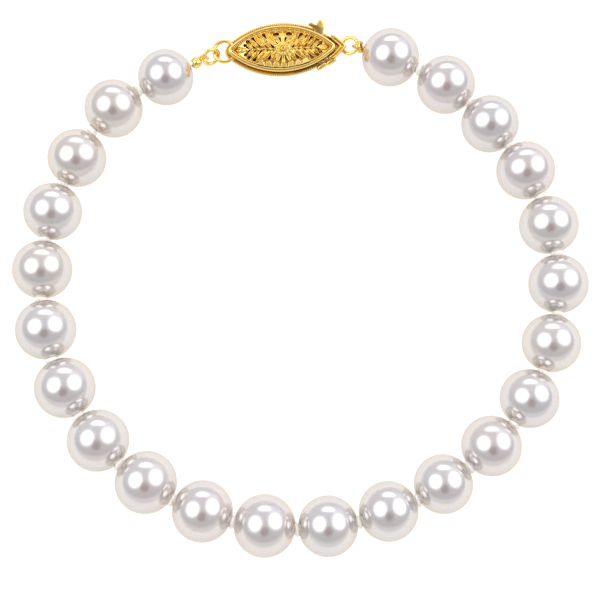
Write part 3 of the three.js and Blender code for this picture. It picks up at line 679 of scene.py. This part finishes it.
def sprig(x, y, end):
    best = np.full_like(x, FLOOR)
    for side in (1, -1):
        for row, (foot, degrees, share) in enumerate(SPRIG[side]):
            turn = math.radians(degrees)
            rise = half_width(foot + 0.8, FIELD_INSET + 0.12) * share
            length = rise / math.sin(turn)
            at = (FLOWER_X + end * (foot + 0.5 * length * math.cos(turn)),
                  side * 0.5 * length * math.sin(turn))
            best = np.maximum(best, leaf_form(x, y, at, end * side * turn, length * 1.02,
                                              0.76 - 0.06 * row, 0.38, 0.75, 0.62))
            bud = (at[0] + end * 0.34, at[1] - side * 0.30)
            best = np.maximum(best, leaf_form(x, y, bud, end * side * (turn - 0.2), 0.5, 0.2,
                                              0.3, 0.8, 0.1))
    for k in range(6):
        at = (FLOWER_X + end * (1.45 + 0.6 * k), 0.03 * math.sin(k * 2.0))
        best = np.maximum(best, leaf_form(x, y, at, 0.0, 0.9, 0.17, 0.24, 0.6, 0.0))
    loop = FLOWER_X * 0.4 + end * 4.8
    outer = leaf_form(x, y, (loop, 0), 0.0, 1.2, 0.66, 0.24, 0.8, 0.9)
    hole = np.hypot((x - loop) / 0.3, y / 0.13) < 1
    return np.maximum(best, np.where(hole, FLOOR, outer))


def piercings(x, y):
    """Small holes of the sheet: beside the top petal and between the sprigs' leaves."""
    best = np.zeros_like(x, dtype=bool)
    slots = [(FLOWER_X + s * 0.76, 1.68, s * -0.1, 0.72, 0.34) for s in (1, -1)]
    for degrees in (73.0, 42.0, 12.0, -18.0, -48.0, -77.0):
        for turn in (math.radians(degrees), math.pi - math.radians(degrees)):
            slots.append((FLOWER_X + 1.02 * math.cos(turn), 1.02 * math.sin(turn), turn,
                          0.62, 0.19))
    for side in (1, -1):
        for row, (foot, degrees, share) in enumerate(SPRIG[side]):
            turn = math.radians(degrees)
            length = half_width(foot + 0.8, FIELD_INSET + 0.12) * share / math.sin(turn)
            for end in (1, -1):
                for part, wide in ((0.34, 0.24), (0.76, 0.32)):
                    slots.append((FLOWER_X + end * (foot + 0.42 + part * length * math.cos(turn)),
                                  side * part * length * math.sin(turn),
                                  end * side * turn, 0.34 * length, wide))
    for x0, y0, turn, length, width in slots:
        c, s = math.cos(turn), math.sin(turn)
        u = ((x - x0) * c + (y - y0) * s) / (length / 2)
        v = (-(x - x0) * s + (y - y0) * c) / (width / 2)
        best |= u ** 2 + v ** 2 < 1
    return best


def tip_distance(x, y):
    """Distance from the clasp's outline inwards."""
    near_tip = np.abs(x) * ARC_DROP > TIP_CENTRE * (np.abs(y) + ARC_DROP)
    return np.where(near_tip, CASE_TIP_RADIUS - np.hypot(np.abs(x) - TIP_CENTRE, y),
                    ARC_RADIUS - np.hypot(x, np.abs(y) + ARC_DROP))


def pit_height(x):
    """Height of the holes' bottoms, lower near the two ends."""
    return PIT_Z - 0.6 * np.clip(np.abs(x) - 4.9, 0, 0.5)


def filigree_height(x, y):
    form = np.maximum(flower(x, y), np.maximum(sprig(x, y, 1), sprig(x, y, -1)))
    for end, start in ((1, 0.6), (-1, 2.5)):
        form = np.maximum(form, scroll_form(x, y, (FLOWER_X + end * 2.2, 0.98), 0.26,
                                            0.09, 0.2, start, 1.2))
    inside = tip_distance(x, y) - FIELD_INSET
    flute = np.abs(((x - FLOWER_X) / 0.86 + 0.5) % 1.0 - 0.5) * 2
    tall = 0.72 * (1 - flute ** 1.5)
    panel = (y < 0) & (inside < tall) & (np.abs(x - FLOWER_X) < 3.0)
    form = np.where(panel, np.maximum(form, 0.12 + 0.16 * (1 - inside / 0.72)), form)
    low = 0.05 - 0.2 * np.clip((inside - 0.1) / 0.2, 0, 1) * (np.abs(x - FLOWER_X) < 4.3)
    sheet = np.where(piercings(x, y) & (inside > 0.1), FLOOR, low)
    form = np.maximum(form, sheet)
    sink = SINK_SLOPE * np.logaddexp(0, (np.abs(x) - SINK_FROM) / SINK_BLEND) * SINK_BLEND
    crown = CROWN * (1 - (y / 2.2) ** 2)
    return np.where(form > FLOOR / 2, SHEET_Z + crown - sink + form, pit_height(x)), inside


def make_filigree():
    reach = CASE_LENGTH / 2 - 0.5
    xs = np.arange(-reach, reach, GRID_STEP)
    ys = np.arange(-2.3, 2.3, GRID_STEP)
    x, y = np.meshgrid(xs, ys, indexing="ij")
    z, inside = filigree_height(x, y)
    z[1:-1, 1:-1] = (z[1:-1, 1:-1] * 6 + z[:-2, 1:-1] + z[2:, 1:-1] + z[1:-1, :-2]
                     + z[1:-1, 2:]) / 10
    usable = inside > -0.06
    solid = z > pit_height(x) + 0.01
    rows, columns = x.shape
    number = np.arange(rows * columns).reshape(rows, columns)
    corners = np.stack([number[:-1, :-1], number[1:, :-1], number[1:, 1:], number[:-1, 1:]], -1)
    allowed = usable.ravel()[corners].all(-1) & solid.ravel()[corners].any(-1)
    faces = corners[allowed]
    used, faces = np.unique(faces, return_inverse=True)
    verts = np.stack([x.ravel(), y.ravel(), z.ravel()], -1)[used]
    shape = Shape()
    shape.add(verts, [tuple(int(i) for i in face) for face in faces.reshape(-1, 4)])
    return clasp_piece("filigree", shape, CAST, sharp=0)


case_pieces = make_case() + [make_filigree()]
for piece in case_pieces:
    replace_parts(piece, "clasp_case")


# Tongue: ribbed V end, leaf and grip lobes.
def arm_x(y, tip_x):
    point = math.sqrt(ARC_RADIUS ** 2 - ARC_DROP ** 2)
    return tip_x - point + math.sqrt(ARC_RADIUS ** 2 - (abs(y) + ARC_DROP) ** 2)


def make_tongue_end():
    """Two ribs side by side round the rail's tip, joined by a lower web."""
    shape = Shape()
    for near, far, top, reach in ((-0.86, -0.5, 2.0, 1.28), (-0.56, -0.26, 1.76, 1.2),
                                  (-0.36, 0.0, 2.08, 1.36)):
        low, middle, half = 0.72, (near + far) / 2, (far - near) / 2
        section = [(middle - half * math.cos(t), top - 0.2 + 0.2 * math.sin(t))
                   for t in np.linspace(0, math.pi, 9)]
        section += [(far, low + 0.06), (far - 0.06, low), (near + 0.06, low), (near, low + 0.06)]
        ys = np.concatenate([np.linspace(-reach, -0.08, 26), np.linspace(-0.06, 0.06, 5),
                             np.linspace(0.08, reach, 26)])
        rows = []
        for y in ys:
            end = max(0.0, (abs(y) - reach + 0.22) / 0.22)
            shrink = 0.3 + 0.7 * math.sqrt(max(0.0, 1 - end ** 2))
            bend = math.hypot(y, 0.05) - 0.05
            for s, z in section:
                rows.append((arm_x(bend, END_CAP_X + middle + (s - middle) * shrink), y,
                             low + (z - low) * (0.7 + 0.3 * shrink)))
        size = len(ys), len(section)
        shape.add(rows, grid_faces(*size) + end_faces(*size))
    return clasp_piece("tongue_end", shape, GOLD, sharp=55)


def rounded_plate(points, low, high, round_by):
    """A plate of a plan outline with softened upper and lower edges."""
    work = bmesh.new()
    bottom = [work.verts.new((x, y, low)) for x, y in points]
    work.faces.new(bottom)
    made = bmesh.ops.extrude_face_region(work, geom=work.faces[:])
    top = [v for v in made["geom"] if isinstance(v, bmesh.types.BMVert)]
    bmesh.ops.translate(work, verts=top, vec=(0, 0, high - low))
    bmesh.ops.recalc_face_normals(work, faces=work.faces)
    edges = [e for e in work.edges if abs(e.verts[0].co.z - e.verts[1].co.z) < 1e-6]
    bmesh.ops.bevel(work, geom=edges, offset=round_by, segments=3, profile=0.5, affect="EDGES")
    work.verts.index_update()
    verts = [tuple(v.co) for v in work.verts]
    faces = [tuple(v.index for v in f.verts) for f in work.faces]
    work.free()
    return verts, faces


def smooth_closed(points, per_side=8):
    """A closed smooth line through plan points."""
    points = np.array(points, dtype=float)
    count = len(points)
    out = []
    for k in range(count):
        p0, p1, p2, p3 = (points[(k + i) % count] for i in (-1, 0, 1, 2))
        for t in np.linspace(0, 1, per_side, endpoint=False):
            out.append(0.5 * (2 * p1 + (p2 - p0) * t + (2 * p0 - 5 * p1 + 4 * p2 - p3) * t ** 2
                              + (3 * p1 - p0 - 3 * p2 + p3) * t ** 3))
    return [tuple(p) for p in out]


def capsule(x0, y0, x1, y1, radius, steps=12):
    turn = math.atan2(y1 - y0, x1 - x0)
    points = []
    for (x, y), start in (((x1, y1), turn - math.pi / 2), ((x0, y0), turn + math.pi / 2)):
        points += [(x + radius * math.cos(start + math.pi * k / steps),
                    y + radius * math.sin(start + math.pi * k / steps))
                   for k in range(steps + 1)]
    return points


def make_tongue_leaf():
    shape = Shape()
    shape.add(*rounded_plate(capsule(PIVOT_X, 0, TAB_X - 0.6, -0.8, 0.45), 0.7, 0.9, 0.04))
    shape.add(*rounded_plate(capsule(TAB_X - 1.2, -0.75, 6.7, 0, 0.31), 0.7, 0.9, 0.04))
    shape.add(*rounded_plate(capsule(PIVOT_X, 0, PIVOT_X + 0.01, 0, 0.25), 0.9, 1.2, 0.03))
    return clasp_piece("tongue_leaf", shape, GOLD)


def rim_place(x, out):
    return TAB_X + x, -half_width(TAB_X + x) - out


def make_grip_lobes():
    shape = Shape()
    lobes = [(rim_place(-0.36, 0.26), rim_place(0.29, 0.2)),
             (rim_place(0.74, 0.35), rim_place(1.36, 0.45))]
    for (a, b) in lobes:
        shape.add(*rounded_plate(capsule(*a, *b, LOBE_RADIUS, 14), 0.7, 1.26, 0.25))
    for start, end in ((lobes[0][1], (TAB_X - 0.9, -0.9)), (lobes[1][0], (TAB_X + 0.1, -0.75))):
        shape.add(*rounded_plate(capsule(*start, *end, 0.26), 0.7, 0.9, 0.05))
    return clasp_piece("grip_lobes", shape, GOLD, sharp=50)


for piece in (make_tongue_end(), make_tongue_leaf(), make_grip_lobes()):
    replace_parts(piece, "clasp_tongue")


# Release lever.
TAB_LEAN_FROM = 0.4  # from the case's rim to where the tab starts to lean, and its blend
TAB_LIFT = 0.06
TAB_SLOPE = 0.3  # downwards to the right


def make_lever():
    rim = half_width(TAB_X)
    shape = Shape()
    arm = capsule(PIVOT_X, 0, TAB_X - 0.2, 0.85, 0.31)
    shape.add(*rounded_plate(arm, 0.98, 1.2, 0.04))
    root = (rim - 0.75) / TAB_REACH
    shares = [(-0.4, -root), (0.1, -root), (0.28, 0.13), (0.45, 0.57), (0.3, 0.93), (-0.03, 1.0),
              (-0.31, 0.77), (-0.46, 0.6), (-0.8, 0.8), (-1.07, 0.74), (-1.1, 0.55), (-0.69, 0.23)]
    tab = smooth_closed([(TAB_X + x * TAB_REACH, rim + y * TAB_REACH) for x, y in shares])
    verts, faces = rounded_plate(tab, 0.98, 1.22, 0.07)
    leaning = []
    for x, y, z in verts:
        share = min(1.0, max(0.0, (y - rim - TAB_LEAN_FROM) / TAB_LEAN_FROM))
        lean = TAB_LIFT - TAB_SLOPE * max(0.0, x - TAB_X + 0.2)
        leaning.append((x, y, z + share * lean))
    shape.add(leaning, faces)
    return clasp_piece("thumb_tab", shape, GOLD, body=LEVER, sharp=50)


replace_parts(make_lever(), "release_lever")


# Surface, light and camera.
# The studio as patches on the sky: (direction, sizes, softness, colour times strength).
# The last one takes light away and makes the darker spot that each pearl shows.
SKY_LEVELS = (0.54, 0.74)
SKY_TINT = (0.98, 0.97, 1.03)
LAMPS = (
    ((-0.576, 0.067, 0.815), (0.40, 0.42, 0.42), 0.45, (2.1, 2.12, 2.25)),
    ((0.675, 0.183, 0.714), (0.40, 0.42, 0.42), 0.45, (2.1, 2.12, 2.25)),
    ((0.027, 0.877, 0.479), (0.36, 0.18, 0.18), 0.45, (1.6, 1.62, 1.7)),
    ((0.65, 0.60, 0.45), (0.40, 0.40, 0.40), 0.5, (0.3, 0.31, 0.36)),
    ((0.0, -0.42, 0.91), (0.28, 0.32, 0.32), 0.35, (-0.29, -0.36, -0.41)),
)
SWEEP_PLANE = (0.0, 0.39, 1.0)
SWEEP_COLOR = (0.84, 0.83, 0.82)


def make_floor():
    size = 0.9
    mesh = bpy.data.meshes.new("surface")
    count = 12
    verts = [(size * (i / count - 0.5) * 2, size * (j / count - 0.5) * 2, 0.0)
             for i in range(count + 1) for j in range(count + 1)]
    faces = [(i * (count + 1) + j, (i + 1) * (count + 1) + j, (i + 1) * (count + 1) + j + 1,
              i * (count + 1) + j + 1) for i in range(count) for j in range(count)]
    mesh.from_pydata(verts, [], faces)
    mat, nodes, links = material("white_surface")
    shader = nodes["Principled BSDF"]
    shader.inputs["Base Color"].default_value = (0.22, 0.22, 0.22, 1)
    shader.inputs["Roughness"].default_value = 0.9
    shader.inputs["Specular IOR Level"].default_value = 0.0
    shader.inputs["Emission Color"].default_value = (1, 1, 1, 1)
    shader.inputs["Emission Strength"].default_value = SURFACE_GLOW
    mesh.materials.append(mat)
    floor = bpy.data.objects.new("surface", mesh)
    bpy.context.scene.collection.objects.link(floor)


CAMERA_DISTANCE = 0.215
CAMERA_ELEVATION = 78.453
CAMERA_ROLL = -1.132
FOCAL_PIXELS = 1899.2
PHOTO_PIXELS = 600.0
CAMERA_TARGET = Vector((-0.062, -2.39, 3.4)) * MM


def make_camera():
    data = bpy.data.cameras.new("camera")
    data.sensor_width = 36.0
    data.lens = FOCAL_PIXELS / PHOTO_PIXELS * data.sensor_width
    data.clip_start = 0.005
    camera = bpy.data.objects.new("camera", data)
    tilt, roll = math.radians(CAMERA_ELEVATION), math.radians(CAMERA_ROLL)
    away = Vector((0, -math.cos(tilt), math.sin(tilt)))
    right = Vector((1, 0, 0))
    up = away.cross(right)
    right, up = (right * math.cos(roll) + up * math.sin(roll),
                 up * math.cos(roll) - right * math.sin(roll))
    place = CAMERA_TARGET + away * CAMERA_DISTANCE
    camera.matrix_world = Matrix((
        (right.x, up.x, away.x, place.x),
        (right.y, up.y, away.y, place.y),
        (right.z, up.z, away.z, place.z),
        (0, 0, 0, 1)))
    bpy.context.scene.collection.objects.link(camera)
    bpy.context.scene.camera = camera


def make_world():
    """A studio of soft lamps as smooth patches on the sky, over a white sweep."""
    world = bpy.data.worlds.new("studio")
    world.use_nodes = True
    nodes, links = world.node_tree.nodes, world.node_tree.links
    direction = nodes.new("ShaderNodeTexCoord").outputs["Generated"]

    def vector_math(operation, a, b=None, scale=None):
        node = nodes.new("ShaderNodeVectorMath")
        node.operation = operation
        for socket, value in ((node.inputs[0], a), (node.inputs[1], b)):
            if isinstance(value, tuple):
                socket.default_value = value
            elif value is not None:
                links.new(value, socket)
        if scale is not None:
            links.new(scale, node.inputs["Scale"])
        return node.outputs["Value" if operation in ("LENGTH", "DOT_PRODUCT") else "Vector"]

    def smooth(value, low, high, at_low, at_high):
        node = nodes.new("ShaderNodeMapRange")
        node.interpolation_type = "SMOOTHSTEP"
        for name, number in (("From Min", low), ("From Max", high), ("To Min", at_low),
                             ("To Max", at_high)):
            node.inputs[name].default_value = number
        links.new(value, node.inputs["Value"])
        return node.outputs["Result"]

    def patch(centre, sizes, soft):
        away = vector_math("DIVIDE", vector_math("SUBTRACT", direction, centre), sizes)
        return smooth(vector_math("LENGTH", away), 1 - soft, 1 + soft, 1.0, 0.0)

    level = smooth(vector_math("DOT_PRODUCT", direction, (0.0, 1.0, 0.0)), -0.9, 0.9, *SKY_LEVELS)
    total = vector_math("SCALE", SKY_TINT, scale=level)
    for centre, sizes, soft, color in LAMPS:
        total = vector_math("ADD", total, vector_math("SCALE", color,
                                                      scale=patch(centre, sizes, soft)))
    sweep = vector_math("DOT_PRODUCT", direction, SWEEP_PLANE)
    total = vector_math("ADD", vector_math("SCALE", total, scale=smooth(sweep, -0.02, 0.03, 0, 1)),
                        vector_math("SCALE", SWEEP_COLOR, scale=smooth(sweep, -0.02, 0.03, 1, 0)))
    background = nodes["Background"]
    links.new(total, background.inputs["Color"])
    background.inputs["Strength"].default_value = 1.0
    bpy.context.scene.world = world


make_floor()
make_camera()
make_world()
view = bpy.context.scene.view_settings
view.view_transform = "Standard"
view.look = "None"
